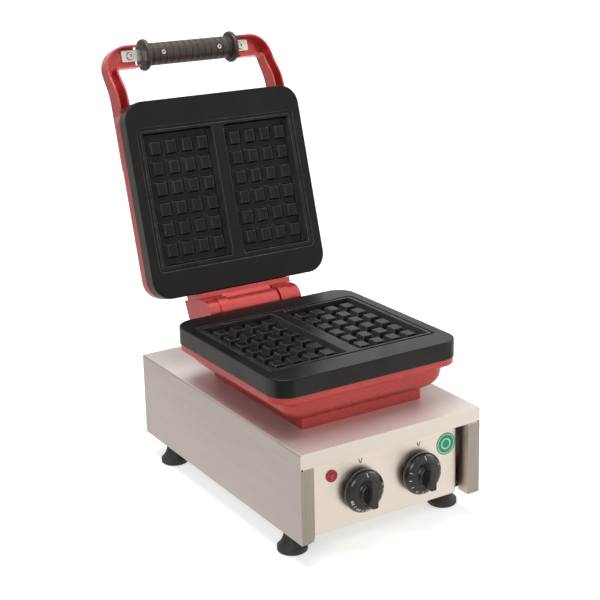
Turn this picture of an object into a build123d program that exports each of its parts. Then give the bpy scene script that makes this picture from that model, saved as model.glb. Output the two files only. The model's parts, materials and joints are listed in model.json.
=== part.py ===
from build123d import *
import os
from math import cos, radians, sin

# Belgian waffle maker, lid open. Millimetres, +Z up, the controls face -Y.
# Until the last step X = 0 is the middle, Y = 0 the front of the base and Z = 0 the table.
# The lid is drawn closed, then turned open about its hinge.

# Base box
BASE_W = 250.0
BASE_D = 395.0
BASE_H = 109.0
SHEET = 1.2
BEND_R = 2.2
LIP_H = 18.5
POST_W = 17.0
POST_CORNER_R = 8.0
SEAM = 0.6
RETURN_D = 18.0
FLANGE_W = 22.5
FLANGE_Y0 = 24.0

# Feet
FOOT_H = 30.0
FOOT_R = 18.0
FOOT_NECK_R = 9.5
FOOT_RIM_H = 6.0
FOOT_IN = 17.0
FOOT_Y_FRONT = 50.0
FOOT_Y_BACK = 347.0
FOOT_BORE_R = 6.5
FOOT_BORE_H = 9.0

# Control panel
PANEL_SET = 13.4
PANEL_GAP = 23.0
PANEL_DEEP = 20.0
PANEL_BEND_R = 4.0
LAMP_IN = 25.5
LAMP_Z = 97.5
LAMP_R = 7.3
LAMP_NECK_R = 5.0
GLAND_IN = 55.0
GLAND_Z = 66.0
LABEL_IN = 17.0
LABEL_Z = 96.5
LABEL_R = 13.7
LABEL_T = 0.3
KNOB_X = (-37.0, 45.0)
KNOB_Z = 71.6
MARK_Z = 106.0
MARK_H = 6.0
MARK_DEEP = 0.3

# Knobs, measured out from the panel
KNOB_R = 26.0
KNOB_BACK_R = 23.0
KNOB_FACE_R = 17.5
KNOB_GAP = 0.8
KNOB_WIDEST = 7.5
KNOB_FACE_H = 16.0
KNOB_HUB_R = 13.2
KNOB_HUB_H = 20.8
KNOB_BAR_L = 31.0
KNOB_BAR_W = 11.0
KNOB_H = 30.0
KNOB_WALL = 3.0
SHAFT_R = 3.0
SHAFT_FLAT = 2.0
SHAFT_GAP = 0.05
SHAFT_DEEP = 18.0
NECK_R = 5.0
NECK_GAP = 0.2

# Cooking plates
PLATE_W = 258.0
PLATE_L = 256.0
PLATE_R = 26.0
PLATE_Y = 166.0
LOWER_T = 22.0
UPPER_T = 20.0
PART_Z = 212.0
MEET_GAP = 0.5
MOULD_W = 218.0
MOULD_L = 172.5
MOULD_DEEP = 11.0
DIVIDER_W = 16.0
RIDGE_W = 3.0
GUTTER_W = 4.0
GUTTER_DEEP = 2.0
COLUMNS = 4
ROWS = 6
PEG_W = 17.0
PEG_L = 20.0
PEG_DRAFT = 2.4
PEG_H = 9.0
MOULD_SLOPE = 2.5
PITCH_X = 22.8
PITCH_Y = 26.6

# Castings
PEDESTAL_W = 170.0
PEDESTAL_L = 212.0
PEDESTAL_H = 13.0
PEDESTAL_R = 5.0
RIM_INSET = 1.0
RIM_H = 8.0
WALL = 4.0
FLOOR_T = 6.0
LID_WALL_H = 14.0
LID_DOME_H = 12.0
LID_DOME_IN = 14.0

# Hinge
HINGE_Y = 321.0
HINGE_Z = 204.0
LID_OPEN = 106.0
PIN_R = 6.0
PIN_GAP = 0.05
KNUCKLE_R = 17.0
KNUCKLE_END = 68.0
BARREL_HALF = 36.0
BARREL_GAP = 1.2
COLLAR_R = 19.0
COLLAR_W = 15.0
LEAF_T = 6.7
LEAF_HALF = 69.0
STOP_GAP = 0.4
BLOCK_BACK = 57.0

# Arms and handle, lid closed
ARM_OUT = 124.5
ARM_IN = 109.0
ARM_LOW = 234.0
ARM_HIGH = 258.0
ARM_WALL = 2.5
ARM_FLOOR = 3.5
ARM_CORNER_R = 32.0
STUB_LOW = 254.0
STUB_HIGH = 272.5
STUB_IN = 75.0
STUB_Y0 = -41.0
STUB_Y1 = -11.5
BEND_Y0 = 38.0
BEND_Y1 = -27.0
ARM_ROOT_Y = 120.0
GROOVE_END_Y = 70.0
HANDLE_Y = -28.0
BAR_W = 15.0
BAR_T = 4.0
BAR_HALF = 95.0
BAR_SCREW_X = 83.0
GRIP_R = 15.0
GRIP_FLANGE_R = 21.0
GRIP_FLANGE_T = 7.0
GRIP_MID = 3.0
GRIP_HALF = 69.0
GRIP_RIBS = 13
GRIP_SCREW_OUT = 42.0
GRIP_SLOT_GAP = 0.2

# Heaters and small parts
HEATER_R = 4.25
HEATER_X = 95.0
HEATER_Y = 85.0
HEATER_BEND = 4.5
HEATER_END = 5.0
HEATER_END_X = 14.0
CLAMP_W = 206.0
CLAMP_L = 190.0
CLAMP_T = 2.0
PAD_T = 9.0
PAD_W = 150.0
PAD_L = 130.0
STUD_X = 48.0
STUD_Y = 52.0
BOLT_R = 3.0
BOLT_GAP = 0.3
SMALL_HOLE_R = 2.3
BAR_HOLE_R = 2.6
GRIP_HOLE_R = 2.1
BOLT_HEAD_R = 5.2
BOLT_HEAD_H = 3.5

TOP_Z = FOOT_H + BASE_H
SKIN_Z = TOP_Z - SHEET
HALF_W = BASE_W / 2
FOOT_X = HALF_W - FOOT_IN
PANEL_HALF_W = HALF_W - PANEL_GAP
LAMP_X = LAMP_IN - PANEL_HALF_W
LABEL_X = PANEL_HALF_W - LABEL_IN
GLAND_X = GLAND_IN - HALF_W
PLATE_LOW_Z = PART_Z - MEET_GAP / 2
PLATE_HIGH_Z = PART_Z + MEET_GAP / 2
RIM_TOP = PLATE_LOW_Z - LOWER_T
RIM_LOW = RIM_TOP - RIM_H
LID_LOW = PLATE_HIGH_Z + UPPER_T
BAR_Z = STUB_HIGH - ARM_FLOOR - BAR_T
GRIP_Z = BAR_Z + BAR_T / 2
GRIP_SCREW_X = (GRIP_MID - GRIP_SCREW_OUT, GRIP_MID + GRIP_SCREW_OUT)
PANEL_BACK = PANEL_SET + SHEET
PLATE_BACK = PLATE_Y + PLATE_L / 2
HINGE = Axis((0, HINGE_Y, HINGE_Z), (1, 0, 0))


def block(x0, x1, y0, y1, z0, z1):
    """A box between two corners."""
    middle = Pos((x0 + x1) / 2, (y0 + y1) / 2, (z0 + z1) / 2)
    return middle * Box(abs(x1 - x0), abs(y1 - y0), abs(z1 - z0))


def post(r, x, y, z0, z1):
    """An upright cylinder."""
    return Pos(x, y, (z0 + z1) / 2) * Cylinder(r, z1 - z0)


def bar_x(r, x0, x1, y, z):
    """A cylinder lying along X."""
    return Pos((x0 + x1) / 2, y, z) * Rot(0, 90, 0) * Cylinder(r, abs(x1 - x0))


def bar_y(r, y0, y1, x, z):
    """A cylinder lying along Y."""
    return Pos(x, (y0 + y1) / 2, z) * Rot(90, 0, 0) * Cylinder(r, abs(y1 - y0))


def hex_y(across, y0, y1, x, z):
    """A hexagonal prism lying along Y."""
    profile = RegularPolygon(across / 2, 6, major_radius=False)
    return Pos(x, max(y0, y1), z) * Rot(90, 0, 0) * extrude(profile, abs(y1 - y0))


def stack(levels):
    """A solid through rounded rectangles, each level being (w, l, r, z)."""
    faces = [Pos(0, PLATE_Y, z) * RectangleRounded(w, l, r) for w, l, r, z in levels]
    return loft(faces, ruled=True)


def prism_x(points, x0, x1):
    """A (y, z) polygon pulled from x0 to x1."""
    face = make_face(Polyline(*points, close=True))
    return Pos(x0, 0, 0) * extrude(Plane.YZ * face, x1 - x0)


def both(shape):
    """The shape and its mirror image across the middle."""
    return shape + mirror(shape, Plane.YZ)


def opened(shape):
    """A lid part turned from closed to open."""
    return shape.rotate(HINGE, -LID_OPEN)


# Base

def cover_shell():
    """One bent sheet: top, sides, front lip, corner posts and bottom flanges."""
    outer = block(-HALF_W, HALF_W, 0, BASE_D, FOOT_H, TOP_Z)
    long_edges = outer.edges().filter_by(Axis.Y).group_by(Axis.Z)[-1]
    outer = fillet(long_edges, BEND_R)
    inner = block(-HALF_W + SHEET, HALF_W - SHEET, -1, BASE_D + 1, FOOT_H - 1, SKIN_Z)
    inner = fillet(inner.edges().filter_by(Axis.Y).group_by(Axis.Z)[-1], BEND_R - SHEET)
    shell = outer - inner
    lip = block(-HALF_W, HALF_W, 0, SHEET, TOP_Z - LIP_H, TOP_Z) & outer
    shell += lip
    post_top = TOP_Z - LIP_H - SEAM
    for side in (-1, 1):
        edge = side * (HALF_W - POST_W)
        face = block(side * HALF_W, edge, 0, SHEET, FOOT_H, post_top)
        if side < 0:
            corner = face.edges().filter_by(Axis.Y).group_by(Axis.Z)[0].sort_by(Axis.X)[-1]
            face = fillet(corner, POST_CORNER_R)
        back = block(edge, edge + side * SHEET, 0, RETURN_D, FOOT_H, post_top)
        if side < 0:
            back -= block(edge - 1, edge + 1, -1, RETURN_D + 1, FOOT_H, FOOT_H + POST_CORNER_R)
        foot_flange = block(side * HALF_W, side * (HALF_W - FLANGE_W), FLANGE_Y0, BASE_D,
                            FOOT_H, FOOT_H + SHEET)
        shell += face + back + foot_flange
        shell -= bar_y(1.3, -1, SHEET + 1, side * (HALF_W - 2.0), TOP_Z - LIP_H)
    shell -= post(16.0, 0, PLATE_Y, SKIN_Z - 1, TOP_Z + 1)
    for x, y in bolt_places():
        shell -= post(BOLT_R + BOLT_GAP, x, y, SKIN_Z - 1, TOP_Z + 1)
    for x, y in foot_places():
        shell -= post(BOLT_R + BOLT_GAP, x, y, FOOT_H - 1, FOOT_H + SHEET + 1)
    return shell


def foot_places():
    """Middles of the four feet."""
    return [(x, y) for y in (FOOT_Y_FRONT, FOOT_Y_BACK) for x in (-FOOT_X, FOOT_X)]


def bolt_places():
    """Bolts that hold the lower casting on the cover."""
    return [(x, PLATE_Y + y) for x in (-60.0, 60.0) for y in (-82.0, 82.0)]


def mark(x):
    """A small V above a knob, cut into the panel face."""
    limbs = []
    for side in (-1, 1):
        limb = Pos(x + side * 1.3, PANEL_SET, MARK_Z) * Rot(0, side * 22, 0)
        limbs.append(limb * Box(1.0, 2 * MARK_DEEP, MARK_H))
    return limbs


def control_panel():
    """A folded pan set back behind the lip, with holes for lamp and shafts."""
    pan = block(-PANEL_HALF_W, PANEL_HALF_W, PANEL_SET, PANEL_SET + PANEL_DEEP, FOOT_H, SKIN_Z)
    front = pan.edges().filter_by(Axis.Z).group_by(Axis.Y)[0]
    pan = fillet(front, PANEL_BEND_R)
    hollow = block(-PANEL_HALF_W + SHEET, PANEL_HALF_W - SHEET, PANEL_BACK,
                   PANEL_SET + PANEL_DEEP + 1, FOOT_H + SHEET, SKIN_Z - SHEET)
    hollow = fillet(hollow.edges().filter_by(Axis.Z).group_by(Axis.Y)[0], PANEL_BEND_R - SHEET)
    pan -= hollow
    for x in KNOB_X:
        pan -= bar_y(NECK_R + NECK_GAP, PANEL_SET - 1, PANEL_BACK + 1, x, KNOB_Z)
        for limb in mark(x):
            pan -= limb
    pan -= bar_y(LAMP_NECK_R + NECK_GAP, PANEL_SET - 1, PANEL_BACK + 1, LAMP_X, LAMP_Z)
    for x, y in floor_screw_places()[:2]:
        pan -= post(SMALL_HOLE_R, x, y, FOOT_H - 1, FOOT_H + SHEET + 1)
    return pan


def bottom_plate():
    """Sheet floor with rows of cooling slots."""
    z0 = FOOT_H + SHEET
    pan_back = PANEL_SET + PANEL_DEEP
    plate = block(-HALF_W + SHEET, HALF_W - SHEET, pan_back, BASE_D - SHEET, z0, z0 + SHEET)
    tongue = PANEL_HALF_W - PANEL_BEND_R
    plate += block(-tongue, tongue, FLANGE_Y0, pan_back + 1, z0, z0 + SHEET)
    for y in (BASE_D * share for share in (0.28, 0.51, 0.735)):
        for n in range(9):
            slot = Pos((n - 4) * 16.0, y, z0) * SlotOverall(40.0, 5.0, rotation=90)
            plate -= extrude(slot, SHEET * 2, both=True)
    for x, y in foot_places():
        plate -= post(BOLT_R + BOLT_GAP, x, y, z0 - 1, z0 + SHEET + 1)
    for x, y in floor_screw_places():
        plate -= post(SMALL_HOLE_R, x, y, z0 - 1, z0 + SHEET + 1)
    return plate


def floor_screw_places():
    """Screws that join the floor to the panel and to the rear sheet."""
    front_x = PANEL_HALF_W - 32
    back_x = HALF_W - FLANGE_W - 12.5
    front = [(x, FLANGE_Y0 + 4) for x in (-front_x, front_x)]
    back = [(x, BASE_D - 9) for x in (-back_x, back_x)]
    return front + back


def rear_panel():
    """Rear sheet with a foot flange, cooling slots and the cable hole."""
    z0 = FOOT_H + 2 * SHEET
    sheet = block(-HALF_W + SHEET, HALF_W - SHEET, BASE_D - SHEET, BASE_D, FOOT_H + SHEET, SKIN_Z)
    sheet = chamfer(sheet.edges().filter_by(Axis.Y).group_by(Axis.Z)[-1], BEND_R)
    sheet += block(-HALF_W + FLANGE_W, HALF_W - FLANGE_W, BASE_D - 16, BASE_D, z0, z0 + SHEET)
    for n in range(7):
        slot = Pos((n - 3) * 11.0 + 20, BASE_D, 92) * Rot(90, 0, 0) * SlotOverall(34.0, 4.5, rotation=90)
        sheet -= extrude(slot, SHEET * 2, both=True)
    sheet -= bar_y(8.0, BASE_D - 3, BASE_D + 1, GLAND_X, GLAND_Z)
    for x, y in floor_screw_places()[2:]:
        sheet -= post(SMALL_HOLE_R, x, y, z0 - 1, z0 + SHEET + 1)
    return sheet


def foot(x, y):
    """A rubber bell foot with a sunk bore for its screw."""
    neck = FOOT_H - 4
    rim = Line((FOOT_R, 1.5), (FOOT_R, FOOT_RIM_H))
    bell = ThreePointArc((FOOT_R, FOOT_RIM_H), (FOOT_NECK_R + 2.2, FOOT_H * 0.5), (FOOT_NECK_R, neck))
    profile = [
        Line((0, 0), (FOOT_R - 1.5, 0)),
        Line((FOOT_R - 1.5, 0), (FOOT_R, 1.5)),
        rim,
        bell,
        Line((FOOT_NECK_R, neck), (FOOT_NECK_R, FOOT_H)),
        Line((FOOT_NECK_R, FOOT_H), (0, FOOT_H)),
        Line((0, FOOT_H), (0, 0)),
    ]
    body = revolve(Plane.XZ * make_face(profile), Axis.Z)
    body -= post(BOLT_R + BOLT_GAP, 0, 0, -1, FOOT_H + 1)
    body -= post(FOOT_BORE_R, 0, 0, -1, FOOT_BORE_H)
    return Pos(x, y, 0) * body


def foot_screws():
    """Machine screws up through the feet."""
    screws = []
    top = FOOT_H + 2 * SHEET + 7
    for x, y in foot_places():
        head = post(BOLT_HEAD_R, x, y, FOOT_BORE_H - BOLT_HEAD_H, FOOT_BORE_H)
        screw = head + post(BOLT_R, x, y, FOOT_BORE_H, top)
        screws.append(screw - post(1.8, x, y, 0, FOOT_BORE_H - 1.5))
    return Compound(children=screws)


def foot_nuts():
    """Nuts on the foot screws, inside the base."""
    z0 = FOOT_H + 2 * SHEET
    nuts = []
    for x, y in foot_places():
        nut = Pos(x, y, z0) * extrude(RegularPolygon(5.0, 6, major_radius=False), 5)
        nuts.append(nut - post(BOLT_R + SHAFT_GAP, x, y, z0 - 1, z0 + 6))
    return Compound(children=nuts)


def floor_screws():
    """Small screws from below through flange and floor."""
    screws = []
    for x, y in floor_screw_places():
        low = FOOT_H if y < HINGE_Y else FOOT_H + SHEET
        head = post(3.6, x, y, low - 1.8, low)
        screws.append(head + post(2.0, x, y, low, FOOT_H + 8))
    return Compound(children=screws)


# Controls

def turned(shape, x):
    """A knob-frame shape (Z out of the panel) put on the panel."""
    return Pos(x, PANEL_SET, KNOB_Z) * Rot(90, 0, 0) * shape


def knob_form():
    """Domed dial, hub and grip bar, hollow behind, with a flatted bore."""
    slope = KNOB_R - KNOB_FACE_R
    outline = Polyline(
        (0, KNOB_GAP),
        (KNOB_BACK_R, KNOB_GAP),
        (KNOB_R - 0.8, KNOB_WIDEST - 3.5),
        (KNOB_R, KNOB_WIDEST),
        (KNOB_R - slope * 0.05, KNOB_WIDEST + 2.0),
        (KNOB_R - slope * 0.16, KNOB_WIDEST + 3.8),
        (KNOB_R - slope * 0.32, KNOB_FACE_H - 3.1),
        (KNOB_R - slope * 0.72, KNOB_FACE_H - 0.8),
        (KNOB_FACE_R, KNOB_FACE_H),
        (KNOB_HUB_R + 0.8, KNOB_FACE_H + 0.4),
        (KNOB_HUB_R, KNOB_FACE_H + 1.4),
        (KNOB_HUB_R - 0.6, KNOB_HUB_H - 1),
        (KNOB_HUB_R - 1.6, KNOB_HUB_H),
        (0, KNOB_HUB_H),
        close=True,
    )
    body = revolve(Plane.XZ * make_face(outline), Axis.Z)
    low = Pos(0, 0, KNOB_FACE_H - 1) * RectangleRounded(KNOB_BAR_W, KNOB_BAR_L, 3.0)
    high = Pos(0, 0, KNOB_H) * RectangleRounded(KNOB_BAR_W - 2.4, KNOB_BAR_L - 3, 2.4)
    grip = loft([low, high])
    grip = fillet(grip.edges().group_by(Axis.Z)[-1], 1.0)
    body += grip
    for side in (-1, 1):
        dent = Pos(side * KNOB_BAR_W / 2, 0, KNOB_H)
        body -= dent * Box(1.2, KNOB_BAR_L * 0.7, 14.0)
    body -= post(KNOB_BACK_R - KNOB_WALL, 0, 0, -1, KNOB_WIDEST)
    body -= post(KNOB_FACE_R - KNOB_WALL, 0, 0, KNOB_WIDEST - 1, KNOB_FACE_H - KNOB_WALL)
    body += post(SHAFT_R + 3.5, 0, 0, 3.5, KNOB_FACE_H)
    bore = post(SHAFT_R + SHAFT_GAP, 0, 0, -1, KNOB_H - 8)
    bore -= block(-9, 9, SHAFT_FLAT + SHAFT_GAP, 9, 3.0, KNOB_H)
    return body - bore


def shaft(x):
    """Control shaft with a flat, from the switch body into the knob."""
    rod = post(SHAFT_R, 0, 0, -SHEET - SHAFT_DEEP, KNOB_H - 8.5)
    rod -= block(-9, 9, SHAFT_FLAT, 9, 3.5, KNOB_H)
    return turned(rod, x)


def thermostat_body():
    """Capillary thermostat: block, threaded neck and two terminals."""
    x = KNOB_X[0]
    y0 = PANEL_BACK
    body = block(x - 19, x + 19, y0, y0 + 26, KNOB_Z - 17, KNOB_Z + 17)
    body += bar_y(NECK_R, PANEL_SET - 3.5, y0, x, KNOB_Z)
    for dz in (-8, 8):
        body += block(x - 0.4, x + 0.4, y0 + 26, y0 + 34, KNOB_Z + dz - 3, KNOB_Z + dz + 3)
    return body - bar_y(SHAFT_R + SHAFT_GAP, PANEL_SET - 5, y0 + SHAFT_DEEP + 0.5, x, KNOB_Z)


def timer_body():
    """Clockwork timer: round case, neck and two terminals."""
    x = KNOB_X[1]
    y0 = PANEL_BACK
    body = bar_y(22.0, y0, y0 + 30, x, KNOB_Z)
    body += bar_y(NECK_R, PANEL_SET - 3.5, y0, x, KNOB_Z)
    for dx in (-10, 10):
        body += block(x + dx - 3, x + dx + 3, y0 + 30, y0 + 38, KNOB_Z - 0.4, KNOB_Z + 0.4)
    return body - bar_y(SHAFT_R + SHAFT_GAP, PANEL_SET - 5, y0 + SHAFT_DEEP + 0.5, x, KNOB_Z)


def neck_nuts():
    """Thin nuts in front of the panel, hidden under the knobs."""
    nuts = []
    for x in KNOB_X:
        nut = hex_y(14.0, PANEL_SET - 2.2, PANEL_SET, x, KNOB_Z)
        nuts.append(nut - bar_y(NECK_R + SHAFT_GAP, PANEL_SET - 4, PANEL_SET + 1, x, KNOB_Z))
    return Compound(children=nuts)


def lamp_bezel():
    """Round bezel and neck of the pilot lamp."""
    ring = bar_y(LAMP_R, PANEL_SET - 2, PANEL_SET, LAMP_X, LAMP_Z)
    ring = fillet(ring.edges().group_by(Axis.Y)[0], 0.9)
    ring += bar_y(LAMP_NECK_R, PANEL_SET, PANEL_SET + 18, LAMP_X, LAMP_Z)
    return ring - bar_y(LAMP_NECK_R - 1, PANEL_SET - 4, PANEL_SET + 14, LAMP_X, LAMP_Z)


def lamp_lens():
    """Domed red lens in the bezel."""
    lens = bar_y(LAMP_NECK_R - 1.1, PANEL_SET - 3.6, PANEL_SET + 10, LAMP_X, LAMP_Z)
    return fillet(lens.edges().group_by(Axis.Y)[0], 2.4)


def lamp_nut():
    """Nut behind the panel on the lamp's neck."""
    nut = hex_y(15.0, PANEL_BACK, PANEL_BACK + 3, LAMP_X, LAMP_Z)
    return nut - bar_y(LAMP_NECK_R + SHAFT_GAP, PANEL_BACK - 1, PANEL_BACK + 4, LAMP_X, LAMP_Z)


def round_label():
    """Plain round label on the panel."""
    return bar_y(LABEL_R, PANEL_SET - LABEL_T, PANEL_SET, LABEL_X, LABEL_Z)


def terminal_block():
    """Ceramic terminal block on the floor near the cable entry."""
    z0 = FOOT_H + 2 * SHEET
    body = block(-95, -45, 320, 340, z0, z0 + 20)
    for n in range(3):
        x = -86 + n * 16
        body -= post(3.0, x, 330, z0 + 8, z0 + 21)
        body -= bar_y(2.2, 319, 341, x, z0 + 7)
    return body


def cable_gland():
    """Rear cable inlet: body, dome cap and inner nut in one piece."""
    body = bar_y(7.8, BASE_D - 14, BASE_D + 4, GLAND_X, GLAND_Z)
    body += hex_y(24.0, BASE_D, BASE_D + 6, GLAND_X, GLAND_Z)
    cap = bar_y(10.0, BASE_D + 6, BASE_D + 20, GLAND_X, GLAND_Z)
    body += fillet(cap.edges().group_by(Axis.Y)[-1], 4.0)
    return body - bar_y(4.0, BASE_D - 20, BASE_D + 30, GLAND_X, GLAND_Z)


def gland_nut():
    """Nut inside the rear sheet."""
    nut = hex_y(24.0, BASE_D - SHEET - 5, BASE_D - SHEET, GLAND_X, GLAND_Z)
    return nut - bar_y(7.8 + SHAFT_GAP, BASE_D - 10, BASE_D + 1, GLAND_X, GLAND_Z)


# Cooking unit

def casting_levels(inset):
    """Levels of the lower casting: pedestal, ogee and rim, moved in by inset."""
    grow_w = PLATE_W - 2 * RIM_INSET - PEDESTAL_W
    grow_l = PLATE_L - 2 * RIM_INSET - PEDESTAL_L
    belly_h = 18.0
    flare_h = RIM_LOW - TOP_Z - PEDESTAL_H - belly_h - 3.0
    belly_z = TOP_Z + PEDESTAL_H
    steps = [(0.0, TOP_Z), (0.0, belly_z)]
    for n in range(1, 7):
        a = radians(30 + n * 10)
        share = 0.6 * (sin(a) - 0.5) / 0.5
        rise = belly_h * (cos(radians(30)) - cos(a)) / cos(radians(30))
        steps.append((share, belly_z + rise))
    neck_z = belly_z + belly_h + 3.0
    for n in range(6):
        b = radians(n * 18)
        steps.append((0.62 + 0.38 * (1 - cos(b)), neck_z + flare_h * sin(b)))
    steps.append((1.0, RIM_TOP))
    levels = []
    for share, z in steps:
        r = PEDESTAL_R + (PLATE_R - RIM_INSET - PEDESTAL_R) * share
        w = PEDESTAL_W + grow_w * share - 2 * inset
        l = PEDESTAL_L + grow_l * share - 2 * inset
        levels.append((w, l, max(r - inset, 1.5), z))
    return levels


def at_hinge(points):
    """Closed-lid (y, z) points turned to the open lid."""
    a = radians(LID_OPEN)
    moved = []
    for y, z in points:
        dy = y - HINGE_Y
        dz = z - HINGE_Z
        moved.append((HINGE_Y + dy * cos(a) + dz * sin(a), HINGE_Z - dy * sin(a) + dz * cos(a)))
    return moved


def leaf_y():
    """Rear face of the lid's hinge leaf, lid closed."""
    return PLATE_BACK + MEET_GAP + LEAF_T


def hinge_cheek():
    """Side lug of the lower casting: knuckle, stop face and bracket."""
    x0 = BARREL_HALF + BARREL_GAP
    stop = at_hinge([(leaf_y() + STOP_GAP, PART_Z), (leaf_y() + STOP_GAP, PART_Z + 38)])
    crown = HINGE_Z + KNUCKLE_R
    back_y = HINGE_Y + BLOCK_BACK
    (ya, za), (yb, zb) = stop
    slope = (zb - za) / (yb - ya)
    start_y = ya - 2.0
    profile = [
        (HINGE_Y, crown),
        (start_y, za - slope * 2.0 - 0.4),
        (ya, za),
        (back_y, za + slope * (back_y - ya)),
        (back_y - 11, 186),
        (back_y - 22, 170),
        (PLATE_BACK + 8, 152),
        (PLATE_BACK - 24, 152),
        (PLATE_BACK - 24, RIM_LOW),
        (PLATE_BACK - RIM_INSET, RIM_LOW),
        (PLATE_BACK - RIM_INSET, RIM_TOP - 2),
        (HINGE_Y - KNUCKLE_R, HINGE_Z - 10),
        (HINGE_Y - KNUCKLE_R, HINGE_Z),
    ]
    lug = prism_x(profile, x0, KNUCKLE_END)
    lug += bar_x(KNUCKLE_R, x0, KNUCKLE_END, HINGE_Y, HINGE_Z)
    return lug + bar_x(COLLAR_R, x0, x0 + COLLAR_W, HINGE_Y, HINGE_Z)


def lower_housing():
    """Cast stand under the lower plate, with the hinge lugs behind."""
    casting = stack(casting_levels(0.0)) + both(hinge_cheek())
    tie = [(PLATE_BACK - 24, 152), (PLATE_BACK + 8, 152), (HINGE_Y + 20, 168),
           (HINGE_Y + 20, 178), (PLATE_BACK - 24, 178)]
    casting += prism_x(tie, -BARREL_HALF - 4, BARREL_HALF + 4)
    inside = casting_levels(WALL)
    inside[0] = inside[0][:3] + (TOP_Z + FLOOR_T,)
    inside[-1] = inside[-1][:3] + (RIM_TOP + 1,)
    casting -= stack(inside)
    casting -= post(14.0, 0, PLATE_Y, TOP_Z - 1, TOP_Z + FLOOR_T + 1)
    for x, y in bolt_places():
        casting += post(7.0, x, y, TOP_Z + 1, TOP_Z + FLOOR_T + 6)
        casting -= post(BOLT_R + BOLT_GAP, x, y, TOP_Z - 1, TOP_Z + FLOOR_T + 3)
    casting -= bar_x(PIN_R + PIN_GAP, -KNUCKLE_END + 4, KNUCKLE_END + 1, HINGE_Y, HINGE_Z)
    for x in (-56.0, 56.0):
        casting -= post(2.6, x, HINGE_Y, HINGE_Z - KNUCKLE_R - 30, HINGE_Z)
    return casting


def housing_bolts():
    """Bolts from inside the base up into the casting."""
    bolts = []
    for x, y in bolt_places():
        bolt = post(BOLT_HEAD_R, x, y, SKIN_Z - BOLT_HEAD_H, SKIN_Z)
        bolts.append(bolt + post(BOLT_R, x, y, SKIN_Z, TOP_Z + FLOOR_T + 2.5))
    return Compound(children=bolts)


def hinge_pin():
    """Steel pin through both lugs and the lid's barrel."""
    pin = bar_x(PIN_R, -KNUCKLE_END + 4.5, KNUCKLE_END - 2, HINGE_Y, HINGE_Z)
    return chamfer(pin.edges().filter_by(GeomType.CIRCLE), 0.8)


def pin_screws():
    """Grub screws that lock the pin in the lugs."""
    low = HINGE_Z - KNUCKLE_R + 2
    return Compound(children=[post(2.5, x, HINGE_Y, low, HINGE_Z - PIN_R) for x in (-56.0, 56.0)])


def peg():
    """One tapered peg standing on the mould floor."""
    low = Pos(0, 0, -MOULD_DEEP) * Rectangle(PEG_W, PEG_L)
    high = Pos(0, 0, PEG_H - MOULD_DEEP) * Rectangle(PEG_W - 2 * PEG_DRAFT, PEG_L - 2 * PEG_DRAFT)
    return loft([low, high], ruled=True)


def mould_pegs():
    """All the pegs of both waffle moulds."""
    half = (MOULD_W + DIVIDER_W) / 4
    one = peg()
    pegs = []
    for side in (-1, 1):
        for column in range(COLUMNS):
            for row in range(ROWS):
                x = side * half + (column - (COLUMNS - 1) / 2) * PITCH_X
                y = (row - (ROWS - 1) / 2) * PITCH_Y
                pegs.append(Pos(x, y, 0) * one)
    return pegs


def mould_hollow():
    """One half of the mould as a cutter with sloping walls, at the origin."""
    w = (MOULD_W - DIVIDER_W) / 2
    low_w = w - 2 * MOULD_SLOPE
    low = Pos(0, 0, -MOULD_DEEP) * RectangleRounded(low_w, MOULD_L - 2 * MOULD_SLOPE, 2.0)
    high = RectangleRounded(w, MOULD_L, 3.0)
    return loft([low, high], ruled=True) + extrude(high, 1.0)


def waffle_plate(thick):
    """A plate with its moulds upward and the parting face at Z = 0."""
    plate = Pos(0, 0, -thick) * extrude(RectangleRounded(PLATE_W, PLATE_L, PLATE_R), thick)
    plate = fillet(plate.edges().group_by(Axis.Z)[-1], 1.6)
    half = (MOULD_W + DIVIDER_W) / 4
    for side in (-1, 1):
        plate -= Pos(side * half, 0, 0) * mould_hollow()
    plate += mould_pegs()
    ridge_w = MOULD_W + 2 * RIDGE_W
    ridge_l = MOULD_L + 2 * RIDGE_W
    ring = RectangleRounded(ridge_w + 2 * GUTTER_W, ridge_l + 2 * GUTTER_W, 6.0)
    ring -= RectangleRounded(ridge_w, ridge_l, 3.0)
    plate -= Pos(0, 0, -GUTTER_DEEP) * extrude(ring, GUTTER_DEEP + 1)
    for x, y in stud_places():
        plate -= post(BOLT_R + BOLT_GAP, x, y, -thick - 1, -thick + 7)
    return plate


def stud_places():
    """Bolts that hold heater and clamp under a plate, about the plate's middle."""
    return [(x, y) for x in (-STUD_X, STUD_X) for y in (-STUD_Y, STUD_Y)]


def heater():
    """Tube heater bent once round the plate, top touching Z = 0, ends turned down."""
    x = HEATER_X
    y = HEATER_Y
    route = FilletPolyline(
        (-HEATER_END_X, y, -HEATER_R - HEATER_END),
        (-HEATER_END_X, y, -HEATER_R),
        (-x, y, -HEATER_R),
        (-x, -y, -HEATER_R),
        (x, -y, -HEATER_R),
        (x, y, -HEATER_R),
        (HEATER_END_X, y, -HEATER_R),
        (HEATER_END_X, y, -HEATER_R - HEATER_END),
        radius=HEATER_BEND,
    )
    start = Plane(origin=route @ 0, z_dir=route % 0)
    return sweep(start * Circle(HEATER_R), path=route)


def clamp_plate():
    """Steel plate that presses the heater on, its top at Z = 0."""
    plate = Pos(0, 0, -CLAMP_T) * extrude(RectangleRounded(CLAMP_W, CLAMP_L, 12), CLAMP_T)
    for x in (-HEATER_END_X, HEATER_END_X):
        plate -= post(HEATER_R + 1.5, x, HEATER_Y, -CLAMP_T - 1, 1)
    for x, y in stud_places():
        plate -= post(BOLT_R + BOLT_GAP, x, y, -CLAMP_T - 1, 1)
    return plate


def insulation():
    """Mineral pad behind the clamp plate, its top at Z = 0."""
    pad = Pos(0, 0, -PAD_T) * extrude(RectangleRounded(PAD_W, PAD_L, 8), PAD_T)
    for x, y in stud_places():
        pad -= post(BOLT_HEAD_R + 1, x, y, -PAD_T - 1, 1)
    return pad


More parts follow.
